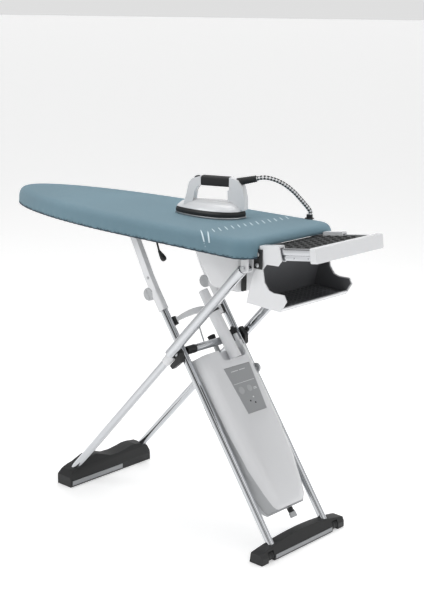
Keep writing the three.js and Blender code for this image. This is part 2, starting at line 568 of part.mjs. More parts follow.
// Filler caps on their necks, side switch, drain, and the duct that rises from the recess.
function ribbedCap({ n, y }, s0, s1, r0, r1) {
  const core = rod([0, 0, s0], [0, 0, s1], r0 - 1.4, 18, r1 - 1.4);
  const cone = rod([0, 0, s0 + 0.6], [0, 0, s1 - 0.6], r0, 18, r1);
  const ribs = Array.from({ length: 6 }, (_, i) =>
    common(cone, block(-2 * r1, 2 * r1, -1.5, 1.5, s0 - 1, s1 + 1).rotateZ((i * Math.PI) / 6)));
  return join(core, ...ribs).translate(n, y, 0);
}
add(legA, 'filler_cap_left', ribbedCap(FILLER.left, -1.6, 30, 10, 13), black);
add(legA, 'filler_cap_right', join(ribbedCap(FILLER.right, 2.4, 20, 11, 11),
  upright(FILLER.right, 19, 27, 8, 4)), black);
add(legA, 'side_switch', join(rodY(SWITCH.n, SWITCH.s, 107, 113.5, SWITCH.r, 20),
  rodY(SWITCH.n, SWITCH.s, 92, 108, 5, 12)), silver);
add(legA, 'drain_cap', join(
  upright({ n: 0, y: DRAIN_Y }, -557, -545.4, 9),
  block(-3, 3, DRAIN_Y - 9, DRAIN_Y + 12, -574, -556)), black);
add(legA, 'steam_duct', join(rod([33.5, 40, -71.6], [33.5, 33, 92], 18.8, 24),
  rod([33.5, 33, 91], [33.5, 31.5, 160], 17, 24, 15)), white);

// ---------------------------------------------------------------- feet
// Foot outlines are (y, z) seen from the front; their sections are (x, z).
const FOOT_A = { x0: 625, x1: 673, half: 193 };
const ROLLER = { x: 659, z: 15, r: 14, y: 150, half: 11 };
const footATop = Array.from({ length: 13 }, (_, i) => {
  const y = FOOT_A.half * (1 - i / 6);
  return [y, 50 - 19 * (y / FOOT_A.half) ** 2];
});
const footASection = [[FOOT_A.x0, 0], [FOOT_A.x1, 0], [FOOT_A.x1, 18], [655, 60], [634, 60]];
const legToWorld = (group) => {
  group.updateMatrixWorld(true);
  return group.matrixWorld.clone();
};
const intoFoot = (n, y, s, r, group) =>
  rod([n, y, s], [n, y, s + 160], r, SIDES).applyMatrix4(legToWorld(group));
const rollerRooms = NEAR_FAR.map(([, sign]) =>
  block(ROLLER.x - 16, FOOT_A.x1 + 5, ...between(ROLLER.y - 12.5, ROLLER.y + 12.5, sign), -2, 31));
const rollerPins = NEAR_FAR.map(([, sign]) =>
  rodY(ROLLER.x, ROLLER.z, ...between(ROLLER.y - 14, ROLLER.y + 14, sign), 3, 12));
const footA = join(cut(common(
  prism([[-FOOT_A.half, 0], [FOOT_A.half, 0], ...footATop], 'x', FOOT_A.x0, FOOT_A.x1),
  prism(footASection, 'y', -FOOT_A.half, FOOT_A.half)),
...rollerRooms,
...NEAR_FAR.map(([, sign]) => intoFoot(0, sign * TUBE_A_Y, -626.5, TUBE_A_R + 0.4, legA))),
...rollerPins);
add(board, 'foot_a', footA, black);
for (const [side, sign] of NEAR_FAR) {
  add(board, `roller_${side}`, cut(
    rodY(ROLLER.x, ROLLER.z, ...between(ROLLER.y - ROLLER.half, ROLLER.y + ROLLER.half, sign), ROLLER.r),
    rodY(ROLLER.x, ROLLER.z, ...between(ROLLER.y - 20, ROLLER.y + 20, sign), 3.4, 12)), rubber);
}

const FOOT_B = { x0: -214, x1: -150, near: -192, far: 172 };
const humps = [[172, 34], [164, 52], [150, 62], [112, 68], [88, 68], [60, 63], [28, 59], [-8, 61],
  [-40, 73], [-68, 81], [-96, 79], [-122, 68], [-136, 62], [-156, 58], [-176, 50], [-192, 34]];
const footB = cut(common(
  prism([[FOOT_B.near, 0], [FOOT_B.far, 0], ...humps], 'x', FOOT_B.x0, FOOT_B.x1),
  prism([[FOOT_B.x0, 0], [FOOT_B.x1, 0], [FOOT_B.x1, 24], [-166, 92], [-204, 92], [FOOT_B.x0, 30]],
    'y', FOOT_B.near, FOOT_B.far)),
...NEAR_FAR.map(([, sign]) =>
  intoFoot(TUBE_B_OFFSET, sign * THIN_B_Y, LEG_B_FOOT_S - 0.5, THIN_B_R + 0.4, legB)));
add(board, 'foot_b', footB, black);

// ---------------------------------------------------------------- steam iron
const SOLE_LENGTH = 228;
const SOLE_HALF = 58;
const WIDEST = 0.68;

// Plan of the iron: pointed at the tip, round at the heel; x runs from tip to heel.
function ironRing(inset, z, lengthShift = 0) {
  const steps = 16;
  const half = [];
  for (let i = 1; i < steps; i++) {
    const t = i / steps;
    const w = t < WIDEST ? Math.sin((Math.PI / 2) * (t / WIDEST)) ** 0.8
      : Math.sqrt(1 - ((t - WIDEST) / (1 - WIDEST)) ** 2);
    half.push([inset + lengthShift + t * (SOLE_LENGTH - 2 * inset), (SOLE_HALF - inset) * w]);
  }
  const near = half.map(([x, y]) => new THREE.Vector3(x, -y, z));
  const far = half.slice().reverse().map(([x, y]) => new THREE.Vector3(x, y, z));
  return [new THREE.Vector3(inset + lengthShift, 0, z), ...near,
    new THREE.Vector3(SOLE_LENGTH - inset + lengthShift, 0, z), ...far];
}

const ringsAt = (list) => loft(list.map(([inset, z, shift]) => ironRing(inset, z, shift)));
add(iron, 'iron_soleplate', ringsAt([[2, 0], [0, 1.5], [0.5, 5]]), steel);
add(iron, 'iron_heat_band', ringsAt([[2.5, 5.3], [2, 14], [5, 21]]), black);
const BODY_TOP = 47;
const ironBody = ringsAt([[5, 21.3], [7, 26, 1], [20, 38, 2], [38, BODY_TOP, 6]]);
// Front post, handle bar and rear post in side view (x, z); the bar is slim inside the grip.
const handleOutside = [[34, 30], [42, 62], [50, 98], [60, 110], [84, 118], [182, 119], [205, 112],
  [219, 92], [226, 60], [227, 24]];
const handleInside = [[176, 30], [172, 84], [164, 92], [92, 92], [78, 88], [68, 72], [62, 36]];
const GRIP = { x0: 88, x1: 177, z0: 90, z1: 119.5, halfY: 15.5 };
const core = (room) => prism(roundedRect(-8 - room, 8 + room, 98 - room, 111 + room, 4), 'x',
  GRIP.x0 - 5, GRIP.x1 + 5, 3);
const gripSpace = block(GRIP.x0 - FIT, GRIP.x1 + FIT, -30, 30, 80, 130);
const bodyRoom = ringsAt([[4.6, 15], [4.6, 21.6], [6.6, 26.3, 1], [19.6, 38.4, 2],
  [37.6, BODY_TOP + 0.4, 6]]);
const handleFrame = prism([...handleOutside, ...handleInside], 'y', -17, 17);

// Thumb button on the front post and boot of the hose behind the rear post.
const BUTTON_AT = new THREE.Vector3(71, 0, 113.7);
const BUTTON_LEAN = Math.atan2(8, 24);
const thumbButton = (radius, low, high) => rod([0, 0, low], [0, 0, high], radius, 16).scale(1.35, 0.85, 1)
  .rotateY(-BUTTON_LEAN).translate(...BUTTON_AT.toArray());
const HOSE_EXIT = new THREE.Vector3(258, 0, 120);
const bootDirection = new THREE.Vector3(60, 0, 14).normalize();
const bootFoot = HOSE_EXIT.clone().addScaledVector(bootDirection, -62);
const boot = (extra) => lathe([[0, 0], [10.5 + extra, 0], [11 + extra, 14], [9.5 + extra, 34],
  [9 + extra, 62], [0, 62]], 18).applyQuaternion(new THREE.Quaternion().setFromUnitVectors(
  new THREE.Vector3(0, 1, 0), bootDirection)).translate(...bootFoot.toArray());

add(iron, 'iron_body', ironBody, white);
add(iron, 'iron_handle', join(
  cut(handleFrame, gripSpace, bodyRoom, thumbButton(8 + FIT, -4.5, 20), boot(0.4)), core(0)), white);
add(iron, 'iron_grip', cut(prism(roundedRect(-GRIP.halfY, GRIP.halfY, GRIP.z0, GRIP.z1, 8), 'x', GRIP.x0,
  GRIP.x1, 4), core(FIT)), rubber);
add(iron, 'iron_steam_button', thumbButton(8, -2, 2.5), black);
add(iron, 'hose_boot', boot(0), rubber);

// ---------------------------------------------------------------- steam hose
const hoseRoute = [[418, 72.5, 1060], [436, 87, 1058], [456, 111, 1046], [475, 138, 1023], [492, 166, 990],
  [505, 187.6, 960]];
iron.updateMatrixWorld(true);
const hoseStart = HOSE_EXIT.clone().addScaledVector(bootDirection, FIT).applyMatrix4(iron.matrixWorld);
const hosePath = new THREE.CatmullRomCurve3([hoseStart, ...hoseRoute.map((p) => new THREE.Vector3(...p)),
  new THREE.Vector3(SOCKET.x, SOCKET.y, SOCKET.top + FIT)]);
const hoseSection = new THREE.Shape(Array.from({ length: 10 }, (_, i) =>
  new THREE.Vector2(Math.cos(i * Math.PI / 5), Math.sin(i * Math.PI / 5)).multiplyScalar(HOSE_R)));
add(board, 'steam_hose', new THREE.ExtrudeGeometry(hoseSection,
  { steps: 14, extrudePath: hosePath, bevelEnabled: false }), braid);

// The origin lies on the floor below the middle of the whole object.
const tilt = rad(TRAY_TILT);
const tailReach = TRAY_ORIGIN.x + TRAY_REACH * Math.cos(tilt) - TRAY_BAR_DROP * Math.sin(tilt);
object.position.x = (NOSE_LENGTH - NOSE_START - tailReach) / 2;

export default object;
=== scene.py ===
# Visual model of the steam ironing board system, in the row frame: metres, +Z up, nose at -X.
import math
import bpy
import bmesh
from mathutils import Matrix, Vector, noise


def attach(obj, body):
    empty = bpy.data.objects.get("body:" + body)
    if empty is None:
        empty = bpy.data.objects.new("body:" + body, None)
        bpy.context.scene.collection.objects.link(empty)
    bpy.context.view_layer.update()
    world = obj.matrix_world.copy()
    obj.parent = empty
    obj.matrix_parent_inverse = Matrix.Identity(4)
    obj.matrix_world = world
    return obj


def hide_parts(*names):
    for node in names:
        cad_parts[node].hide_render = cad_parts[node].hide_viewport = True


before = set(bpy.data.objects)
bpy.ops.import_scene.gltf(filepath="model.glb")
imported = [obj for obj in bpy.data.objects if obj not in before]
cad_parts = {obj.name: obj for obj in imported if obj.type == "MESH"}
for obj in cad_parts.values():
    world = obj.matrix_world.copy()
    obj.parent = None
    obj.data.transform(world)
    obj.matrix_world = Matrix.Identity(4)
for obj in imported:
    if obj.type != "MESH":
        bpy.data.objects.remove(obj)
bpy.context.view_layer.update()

SHIFT = -0.111586           # metres from the board's own frame to the row frame, along X
# Millimetres in the board's frame, whose X runs from nose to tail, or across a leg's own frame.
TAIL = 600                  # the board's tail end
HALF_WIDTH = 210            # half of the board's width at the tail
TAPER = 20                  # how much narrower each side is at the nose end
NOSE_START = 100            # where the nose's ellipse begins
NOSE_LENGTH = 678           # long half-axis of that ellipse
CORNER = 55                 # radius of the tail's corners
COVER_TOP = 935.5           # upper surface of the cover
SLOT_HALF = 152             # half of the slot in the hem for the iron rest
HOSE_RADIUS = 6.5
SOCKET = (505, 188)         # where the hose goes into the board
REAR_TUBE_Y = 123.5         # rear leg's tubes, from the middle plane
FRONT_TUBE_Y = 150          # front leg's lower tubes, from the middle plane
FRONT_TUBE_N = -7.8         # their offset across the front leg
PANEL_FACE = 47.5           # outer face of the control panel, across the rear leg
SIDES = (("near", -1), ("far", 1))


# ------------------------------------------------------------ frames of the moving groups
def group(origin, about, degrees):
    return Matrix.Translation(origin) @ Matrix.Rotation(math.radians(degrees), 4, about)


def at(m, n, y, s):
    """A point in metres from millimetres in a group's frame: across it, sideways and along it."""
    return m @ Vector((n / 1000, y / 1000, s / 1000))


def B(x, y, z):
    """A point in metres from millimetres in the board's own frame."""
    return Vector((x / 1000 + SHIFT, y / 1000, z / 1000))


BOARD = Matrix.Translation((SHIFT, 0, 0))
CROSSING = B(287.6, 0, 543)
LEG_A = group(CROSSING, "Y", -35.2)
LEG_B = group(CROSSING, "Y", 42.7)
TRAY = group(B(TAIL, 0, 907), "Y", -7.7)
IRON = group(B(162, -31, 935.9), "Z", 22)


# ------------------------------------------------------------ camera
camera = bpy.data.objects.new("camera", bpy.data.cameras.new("camera"))
bpy.context.collection.objects.link(camera)
camera.location = (2.6989, -2.7554, 1.6329)
yaw, pitch, roll = math.radians(42.457), math.radians(14.311), math.radians(0.773)
camera.rotation_mode = "XYZ"
aim = Matrix.Rotation(yaw, 4, "Z") @ Matrix.Rotation(math.pi / 2 - pitch, 4, "X")
camera.matrix_world = Matrix.Translation(camera.location) @ aim @ Matrix.Rotation(roll, 4, "Z")
camera.data.sensor_fit = "VERTICAL"
camera.data.sensor_height = 36
camera.data.lens = 76.52
camera.data.clip_end = 50
bpy.context.scene.camera = camera
bpy.context.scene.view_settings.view_transform = "Standard"


# ------------------------------------------------------------ materials
def material(name, color, rough=0.5, metallic=0.0, coat=0.0, scale=60.0, vary=0.04, bump=0.05,
             stretch=(1, 1, 1), rough_vary=0.1, sheen=0.0, weave=0.0):
    mat = bpy.data.materials.new(name)
    mat.use_nodes = True
    nt = mat.node_tree
    n, link = nt.nodes, nt.links.new
    shader = n["Principled BSDF"]
    shader.inputs["Metallic"].default_value = metallic
    shader.inputs["Coat Weight"].default_value = coat
    shader.inputs["Coat Roughness"].default_value = 0.12
    shader.inputs["Sheen Weight"].default_value = sheen
    coord = n.new("ShaderNodeTexCoord")
    mapping = n.new("ShaderNodeMapping")
    mapping.inputs["Scale"].default_value = stretch
    link(coord.outputs["Object"], mapping.inputs["Vector"])
    grain = n.new("ShaderNodeTexNoise")
    grain.inputs["Scale"].default_value = scale
    grain.inputs["Detail"].default_value = 6
    link(mapping.outputs["Vector"], grain.inputs["Vector"])
    wide = n.new("ShaderNodeTexNoise")
    wide.inputs["Scale"].default_value = 4.5
    wide.inputs["Detail"].default_value = 3
    link(coord.outputs["Object"], wide.inputs["Vector"])
    ramp = n.new("ShaderNodeValToRGB")
    ramp.color_ramp.elements[0].position = 0.3
    ramp.color_ramp.elements[1].position = 0.7
    ramp.color_ramp.elements[0].color = (*[c * (1 - vary) for c in color], 1)
    ramp.color_ramp.elements[1].color = (*[min(1, c * (1 + vary)) for c in color], 1)
    link(wide.outputs["Fac"], ramp.inputs["Fac"])
    link(ramp.outputs["Color"], shader.inputs["Base Color"])
    span = n.new("ShaderNodeMapRange")
    span.inputs["To Min"].default_value = max(0.02, rough * (1 - rough_vary))
    span.inputs["To Max"].default_value = min(1, rough * (1 + rough_vary))
    link(grain.outputs["Fac"], span.inputs["Value"])
    link(span.outputs["Result"], shader.inputs["Roughness"])
    height = grain.outputs["Fac"]
    if weave:
        waves = []
        for direction in ("X", "Y"):
            wave = n.new("ShaderNodeTexWave")
            wave.bands_direction = direction
            wave.inputs["Scale"].default_value = weave
            wave.inputs["Distortion"].default_value = 1.2
            wave.inputs["Detail Scale"].default_value = 3
            link(coord.outputs["Object"], wave.inputs["Vector"])
            waves.append(wave)
        total = n.new("ShaderNodeMath")
        total.operation = "ADD"
        for socket, wave in enumerate(waves):
            link(wave.outputs["Fac"], total.inputs[socket])
        height = total.outputs["Value"]
    relief = n.new("ShaderNodeBump")
    relief.inputs["Strength"].default_value = bump
    relief.inputs["Distance"].default_value = 0.0006
    link(height, relief.inputs["Height"])
    link(relief.outputs["Normal"], shader.inputs["Normal"])
    return mat


def srgb(*levels):
    """Linear colour from 8-bit levels."""
    shares = [level / 255 for level in levels]
    return tuple(c / 12.92 if c <= 0.04045 else ((c + 0.055) / 1.055) ** 2.4 for c in shares)


FABRIC = material("cover_cloth", srgb(100, 130, 143), 0.85, vary=0.05, bump=0.35, sheen=0.15, weave=320)
TICKS = material("cover_print", srgb(206, 222, 230), 0.8, vary=0.06, bump=0.25, weave=320)
PIPING = material("hem_binding", srgb(52, 66, 76), 0.9, scale=500, vary=0.15, bump=0.4, weave=260)
FELT = material("felt", srgb(214, 209, 200), 0.95, scale=700, vary=0.06, bump=0.6, sheen=0.2)
WHITE = material("white_plastic", srgb(219, 220, 222), 0.25, coat=0.25, scale=900, vary=0.012, bump=0.03)
GREY = material("grey_plastic", srgb(176, 178, 180), 0.42, scale=1100, vary=0.03, bump=0.12)
PANEL = material("panel_grey", srgb(158, 160, 162), 0.35, metallic=0.35, scale=700, vary=0.03, bump=0.05,
                 stretch=(1, 0.06, 1))
BUTTON = material("button_silver", srgb(176, 178, 180), 0.3, metallic=0.5, scale=800, vary=0.03, bump=0.05)
PRINT = material("panel_print", srgb(226, 228, 229), 0.5, scale=500, vary=0.02)
BLACK = material("black_plastic", srgb(20, 21, 22), 0.5, scale=1400, vary=0.08, bump=0.14)
LINER = material("liner_plastic", srgb(88, 89, 92), 0.5, scale=1200, vary=0.08, bump=0.16)
RUBBER = material("black_rubber", srgb(30, 31, 32), 0.7, scale=1600, vary=0.1, bump=0.3, rough_vary=0.15)
CHROME = material("chrome", srgb(196, 198, 201), 0.07, metallic=1.0, scale=260, vary=0.02, bump=0.01,
                  stretch=(1, 1, 0.15), rough_vary=0.4)
STEEL = material("brushed_steel", srgb(176, 178, 180), 0.3, metallic=1.0, scale=600, vary=0.05, bump=0.06,
                 stretch=(0.05, 1, 1), rough_vary=0.3)
STRIP = material("foot_strip", srgb(150, 152, 154), 0.35, metallic=0.6, scale=700, vary=0.04, bump=0.05)
BRASS = material("brass", srgb(181, 143, 78), 0.28, metallic=1.0, scale=400, vary=0.05, bump=0.04)
DARK_SPOT = material("dark_lens", srgb(20, 21, 24), 0.15, coat=0.5, scale=300, vary=0.1)

# Braided hose: two crossing sets of strands in the tube's own coordinates.
BRAID = material("hose_braid", srgb(40, 41, 43), 0.75, scale=900, vary=0.1, bump=0.5)
nt = BRAID.node_tree
uv = nt.nodes.new("ShaderNodeUVMap")
uv.uv_map = "braid"
checker = nt.nodes.new("ShaderNodeTexChecker")
turn = nt.nodes.new("ShaderNodeMapping")
turn.inputs["Rotation"].default_value = (0, 0, math.radians(45))
checker.inputs["Scale"].default_value = 1.0
checker.inputs["Color1"].default_value = (*srgb(28, 28, 30), 1)
checker.inputs["Color2"].default_value = (*srgb(226, 226, 226), 1)
nt.links.new(uv.outputs["UV"], turn.inputs["Vector"])
nt.links.new(turn.outputs["Vector"], checker.inputs["Vector"])
nt.links.new(checker.outputs["Color"], nt.nodes["Principled BSDF"].inputs["Base Color"])


# ------------------------------------------------------------ mesh helpers
def finish_mesh(name, mesh, mat, body, smooth=35, nodes=()):
    obj = bpy.data.objects.new(name, mesh)
    bpy.context.collection.objects.link(obj)
    mesh.materials.clear()
    mesh.materials.append(mat)
    mesh.shade_smooth()
    mesh.set_sharp_from_angle(angle=math.radians(smooth))
    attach(obj, body)
    if nodes:
        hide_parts(*nodes)
    return obj


def bevel(obj, width, segments=2, angle=38):
    mod = obj.modifiers.new("edge", "BEVEL")
    mod.width = width
    mod.segments = segments
    mod.limit_method = "ANGLE"
    mod.angle_limit = math.radians(angle)
    mod.harden_normals = False
    mod.use_clamp_overlap = True
    return obj


def mesh_from(verts, faces, name="piece"):
    mesh = bpy.data.meshes.new(name)
    mesh.from_pydata([tuple(v) for v in verts], [], faces)
    mesh.validate()
    return mesh


def refine(node, body, mat, width):
    """A softened copy of a CAD node: welded, shaded smooth, with its edges broken."""
    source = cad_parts[node]
    mesh = source.data.copy()
    bm = bmesh.new()
    bm.from_mesh(mesh)
    bm.transform(source.matrix_world)
    bmesh.ops.remove_doubles(bm, verts=bm.verts, dist=1e-5)
    bmesh.ops.dissolve_limit(bm, angle_limit=math.radians(0.6), verts=bm.verts, edges=bm.edges)
    bm.to_mesh(mesh)
    bm.free()
    return bevel(finish_mesh(f"{node}_skin", mesh, mat, body, 40, (node,)), width)


def turned(name, profile, m, axis_from, axis_to, mat, body, sides=56, nodes=(), smooth=35):
    """Solid of revolution: profile pairs are (radius, distance along the axis) in millimetres."""
    a, b = at(m, *axis_from), at(m, *axis_to)
    axis = (b - a).normalized()
    u = axis.orthogonal().normalized()
    w = axis.cross(u)
    verts, faces = [], []
    for r, h in profile:
        for i in range(sides):
            t = 2 * math.pi * i / sides
            verts.append(a + axis * h / 1000 + (u * math.cos(t) + w * math.sin(t)) * r / 1000)
    for k in range(len(profile) - 1):
        for i in range(sides):
            j = (i + 1) % sides
            faces.append((k * sides + i, k * sides + j, (k + 1) * sides + j, (k + 1) * sides + i))
    faces.append(tuple(range(sides))[::-1])
    faces.append(tuple((len(profile) - 1) * sides + i for i in range(sides)))
    return finish_mesh(name, mesh_from(verts, faces, name), mat, body, smooth, nodes)


def bar(name, m, a, b, r, mat, body, nodes=()):
    """A round bar with chamfered ends, at most 1.2 mm wide."""
    length = (Vector(b) - Vector(a)).length
    e = min(1.2, r * 0.5)
    ends = [(r - e, 0), (r, e), (r, length - e), (r - e, length)]
    return turned(name, ends, m, a, b, mat, body, 48, nodes)


def plate(name, m, x0, x1, y0, y1, z0, z1, mat, body, width=0.0005):
    v = [at(m, x, y, z) for x in (x0, x1) for y in (y0, y1) for z in (z0, z1)]
    f = [(0, 1, 3, 2), (4, 6, 7, 5), (0, 4, 5, 1), (2, 3, 7, 6), (0, 2, 6, 4), (1, 5, 7, 3)]
    return bevel(finish_mesh(name, mesh_from(v, f, name), mat, body), width)


def tube(name, points, radius, sides, strands=0):
    """Closed tube along points in the row frame; strands > 0 gives it braid coordinates."""
    pts = [Vector(p) for p in points]
    verts, faces, run, ref = [], [], [0.0], None
    for i, p in enumerate(pts):
        tangent = (pts[min(i + 1, len(pts) - 1)] - pts[max(i - 1, 0)]).normalized()
        ref = tangent.orthogonal() if ref is None else ref - tangent * ref.dot(tangent)
        ref.normalize()
        side = tangent.cross(ref)
        if i:
            run.append(run[-1] + (p - pts[i - 1]).length)
        for k in range(sides):
            t = 2 * math.pi * k / sides
            verts.append(p + (ref * math.cos(t) + side * math.sin(t)) * radius)
    for i in range(len(pts) - 1):
        for k in range(sides):
            j = (k + 1) % sides
            faces.append((i * sides + k, i * sides + j, (i + 1) * sides + j, (i + 1) * sides + k))
    faces += [tuple(range(sides))[::-1], tuple((len(pts) - 1) * sides + k for k in range(sides))]
    mesh = mesh_from(verts, faces, name)
    if strands:
        layer = mesh.uv_layers.new(name="braid")
        pitch_v = strands / (2 * math.pi * radius)
        for poly in mesh.polygons:
            ring, k = divmod(poly.index, sides)
            if ring >= len(pts) - 1:
                continue
            for loop, (di, dk) in zip(poly.loop_indices, ((0, 0), (0, 1), (1, 1), (1, 0))):
                layer.data[loop].uv = (strands * (k + dk) / sides, run[ring + di] * pitch_v)
    return mesh


def catmull(points, steps):
    """A Catmull-Rom curve through the points, with even steps between each two."""
    p = [Vector(q) for q in points]
    p = [p[0] * 2 - p[1]] + p + [p[-1] * 2 - p[-2]]
    out = []
    for i in range(1, len(p) - 2):
        for k in range(steps):
            t = k / steps
            out.append(0.5 * ((2 * p[i]) + (p[i + 1] - p[i - 1]) * t
                              + (2 * p[i - 1] - 5 * p[i] + 4 * p[i + 1] - p[i + 2]) * t * t
                              + (3 * p[i] - p[i - 1] - 3 * p[i + 1] + p[i + 2]) * t ** 3))
    return out + [p[-2]]


# ------------------------------------------------------------ hose
hose_route = [(401.48, 65.76, 1055.97), (418, 72.5, 1060), (436, 87, 1058), (456, 111, 1046),
              (475, 138, 1023), (492, 166, 990), (505, 187.6, 960), (505, 188, 948.3)]
hose_points = catmull([B(*p) for p in hose_route], 10)
hose_mesh = tube("hose", hose_points, HOSE_RADIUS / 1000, sides=32, strands=6)
hose = finish_mesh("hose", hose_mesh, BRAID, "board", 60, ("steam_hose",))


# ------------------------------------------------------------ board: cover with a gathered hem
def half_width(x):
    return HALF_WIDTH - TAPER * (TAIL - x) / (2 * TAIL)


def outline(inset, count):
    """Points around the board in plan, even in arc length: elliptic nose, round tail corners."""
    half = []
    for i in range(121):
        a = (math.pi / 2) * (i / 120) ** 1.35
        x = NOSE_START - (NOSE_LENGTH - inset) * math.cos(a)
        half.append((x, (half_width(x) - inset) * math.sin(a)))
    r = max(CORNER - inset, 6)
    cx, cy = TAIL - inset - r, HALF_WIDTH - inset - r
    half += [(cx + r * math.cos(t), cy + r * math.sin(t))
             for t in [(math.pi / 2) * (1 - i / 16) for i in range(17)]]
    half.append((TAIL - inset, 0))
    loop = [(x, -y) for x, y in half] + [(x, y) for x, y in reversed(half[1:-1])]
    run = [0.0]
    for a, b in zip(loop, loop[1:] + loop[:1]):
        run.append(run[-1] + math.dist(a, b))
    out, k = [], 0
    for i in range(count):
        target = run[-1] * i / count
        while run[k + 1] < target:
            k += 1
        t = (target - run[k]) / (run[k + 1] - run[k])
        a, b = loop[k], loop[(k + 1) % len(loop)]
        out.append((a[0] + (b[0] - a[0]) * t, a[1] + (b[1] - a[1]) * t))
    return out


SEGMENTS = 720
FLAT_INSET = 26             # further in than this the cover lies flat on the pad
GATHER_TOP = 912            # the hem's gathers fade out at this height
# Pairs of inset and height, from the hem up and over the rounded edge.
profile = [(1.5, 882.2), (0.6, 886), (0, 892), (0, 899), (0.2, 905), (1.2, 911.5), (4, 919), (7.5, 924.8),
           (12, 929), (18.5, 932.4), (26, 934.3), (36, 935.2), (50, COVER_TOP)]
profile += [(inset, COVER_TOP) for inset in (62, 76, 92, 108, 124, 140, 156, 170)]
verts, faces = [], []
for level, (inset, z) in enumerate(profile):
    ring = outline(inset, SEGMENTS)
    for i, (x, y) in enumerate(ring):
        normal = Vector((x - 80, y * 3.2, 0)).normalized()
        low = max(0.0, (GATHER_TOP - z) / 30)
        phase = i * 0.61 + 2.3 * noise.noise(Vector((i * 0.05, 0.3, 0)))
        gather = low * (0.9 * math.sin(phase) + 0.5 * math.sin(phase * 0.47 + 1.3))
        droop = low * 0.6 * math.sin(phase * 0.31)
        on_top = inset > FLAT_INSET
        crease = 0.35 * noise.noise(Vector((x * 0.012, y * 0.012, 0.4))) if on_top else 0.0
        verts.append(B(x + normal.x * gather, y + normal.y * gather, z + droop + crease - 0.2 * on_top))
rows = len(profile)
for r in range(rows - 1):
    for i in range(SEGMENTS):
        j = (i + 1) % SEGMENTS
        z = (profile[r][1] + profile[r + 1][1]) / 2
        a = verts[r * SEGMENTS + i]
        if a.x > B(TAIL - 12, 0, 0).x and abs(a.y) < SLOT_HALF / 1000 and z < 911:
            continue
        faces.append((r * SEGMENTS + i, r * SEGMENTS + j, (r + 1) * SEGMENTS + j, (r + 1) * SEGMENTS + i))
faces.append(tuple((rows - 1) * SEGMENTS + i for i in range(SEGMENTS)))
mesh = mesh_from(verts, faces, "cover")
bm = bmesh.new()
bm.from_mesh(mesh)
big = [f for f in bm.faces if len(f.verts) > 4]
bmesh.ops.triangulate(bm, faces=big)
bmesh.ops.recalc_face_normals(bm, faces=bm.faces)
bm.to_mesh(mesh)
bm.free()
cover = finish_mesh("cover", mesh, FABRIC, "board", 60, ("board_cover",))
skin = cover.modifiers.new("cloth", "SOLIDIFY")
skin.thickness = 0.0018
skin.offset = -1

# Binding around the hem, from one side of the iron rest's slot round to the other.
HEM_POINTS = 360
ring = outline(1.2, HEM_POINTS)
in_slot = [x > TAIL - 14 and abs(y) < SLOT_HALF + 1 for x, y in ring]
start = in_slot.index(True)
order = [(start + k) % HEM_POINTS for k in range(HEM_POINTS)]
order = [i for i in order if not in_slot[i]]
binding = [B(*ring[i], 883.6 + 0.4 * math.sin(i * 1.9)) for i in order]
finish_mesh("hem_binding", tube("hem_binding", binding, 0.0021, sides=10), PIPING, "board", 60)

# A row of stitches just above the binding.
stitches = [B(*ring[i], 887.6) for i in order]
rise = Vector((0, 0, 0.0011))
verts, faces = [], []
for a, b in zip(stitches[::2], stitches[1::2]):
    out = Vector((a.x + 0.03, a.y * 3.2, 0)).normalized() * 0.0017
    base = len(verts)
    verts += [a + out, b + out, b + out + rise, a + out + rise]
    faces.append((base, base + 1, base + 2, base + 3))
finish_mesh("hem_stitching", mesh_from(verts, faces, "hem_stitching"), PIPING, "board", 60)


def stroke(x, y, along, width):
    """The four corners of a short printed stroke, slanting across the board."""
    ends = [(i * along, j * width) for i, j in ((-1, -1), (-1, 1), (1, 1), (1, -1))]
    return [B(x - 0.80 * a + 0.93 * b, y + 0.60 * a + 0.37 * b, COVER_TOP + 0.25) for a, b in ends]


STROKES = 13
verts = [corner for k in range(STROKES)
         for corner in stroke(430 + 22 * k / 12, -152 + 25 * k, 21 + 2 * math.sin(k), 1.7)]
faces = [tuple(range(4 * k, 4 * k + 4)) for k in range(STROKES)]
finish_mesh("cover_print_row", mesh_from(verts, faces, "cover_print_row"), TICKS, "board")

# Two long strokes wrap over the rounded edge on the near side.
verts, faces = [], []
for x0, y_top, x1 in ((404, -176, 452), (432, -176, 470)):
    base = len(verts)
    path = [(y_top, 935.9), (-184, 935.0), (-191, 933.2), (-197, 929.6), (-201.5, 924.2), (-204.6, 917),
            (-206.3, 908), (-206.8, 899)]
    last = len(path) - 1
    for k, (y, z) in enumerate(path):
        x = x0 + (x1 - x0) * k / last + 6 * math.sin(math.pi * k / last)
        half = 2.6 * math.sin(math.pi * (k + 0.6) / len(path)) + 0.5
        out = half_width(x) - 206.9 + 0.5
        verts += [B(x - half, y - out, z + 0.3), B(x + half, y - out, z + 0.3)]
    faces += [(base + 2 * k, base + 2 * k + 1, base + 2 * k + 3, base + 2 * k + 2) for k in range(last)]
finish_mesh("cover_print_strokes", mesh_from(verts, faces, "cover_print_strokes"), TICKS, "board", 60)

# Grommet where the hose socket passes through the cover.
turned("socket_grommet", [(10, 0), (13.6, 0.2), (14.4, 1.2), (13.4, 2.2), (11, 2.4), (10, 2.2)], BOARD,
       (*SOCKET, 935.2), (*SOCKET, 940), BLACK, "board")


# ------------------------------------------------------------ refined copies of the moulded pieces
def recolour(node, mat):
    """A CAD node that keeps its own mesh and gets only a material."""
    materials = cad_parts[node].data.materials
    materials.clear()
    materials.append(mat)


recolour("board_pad", FELT)
recolour("board_deck", STEEL)

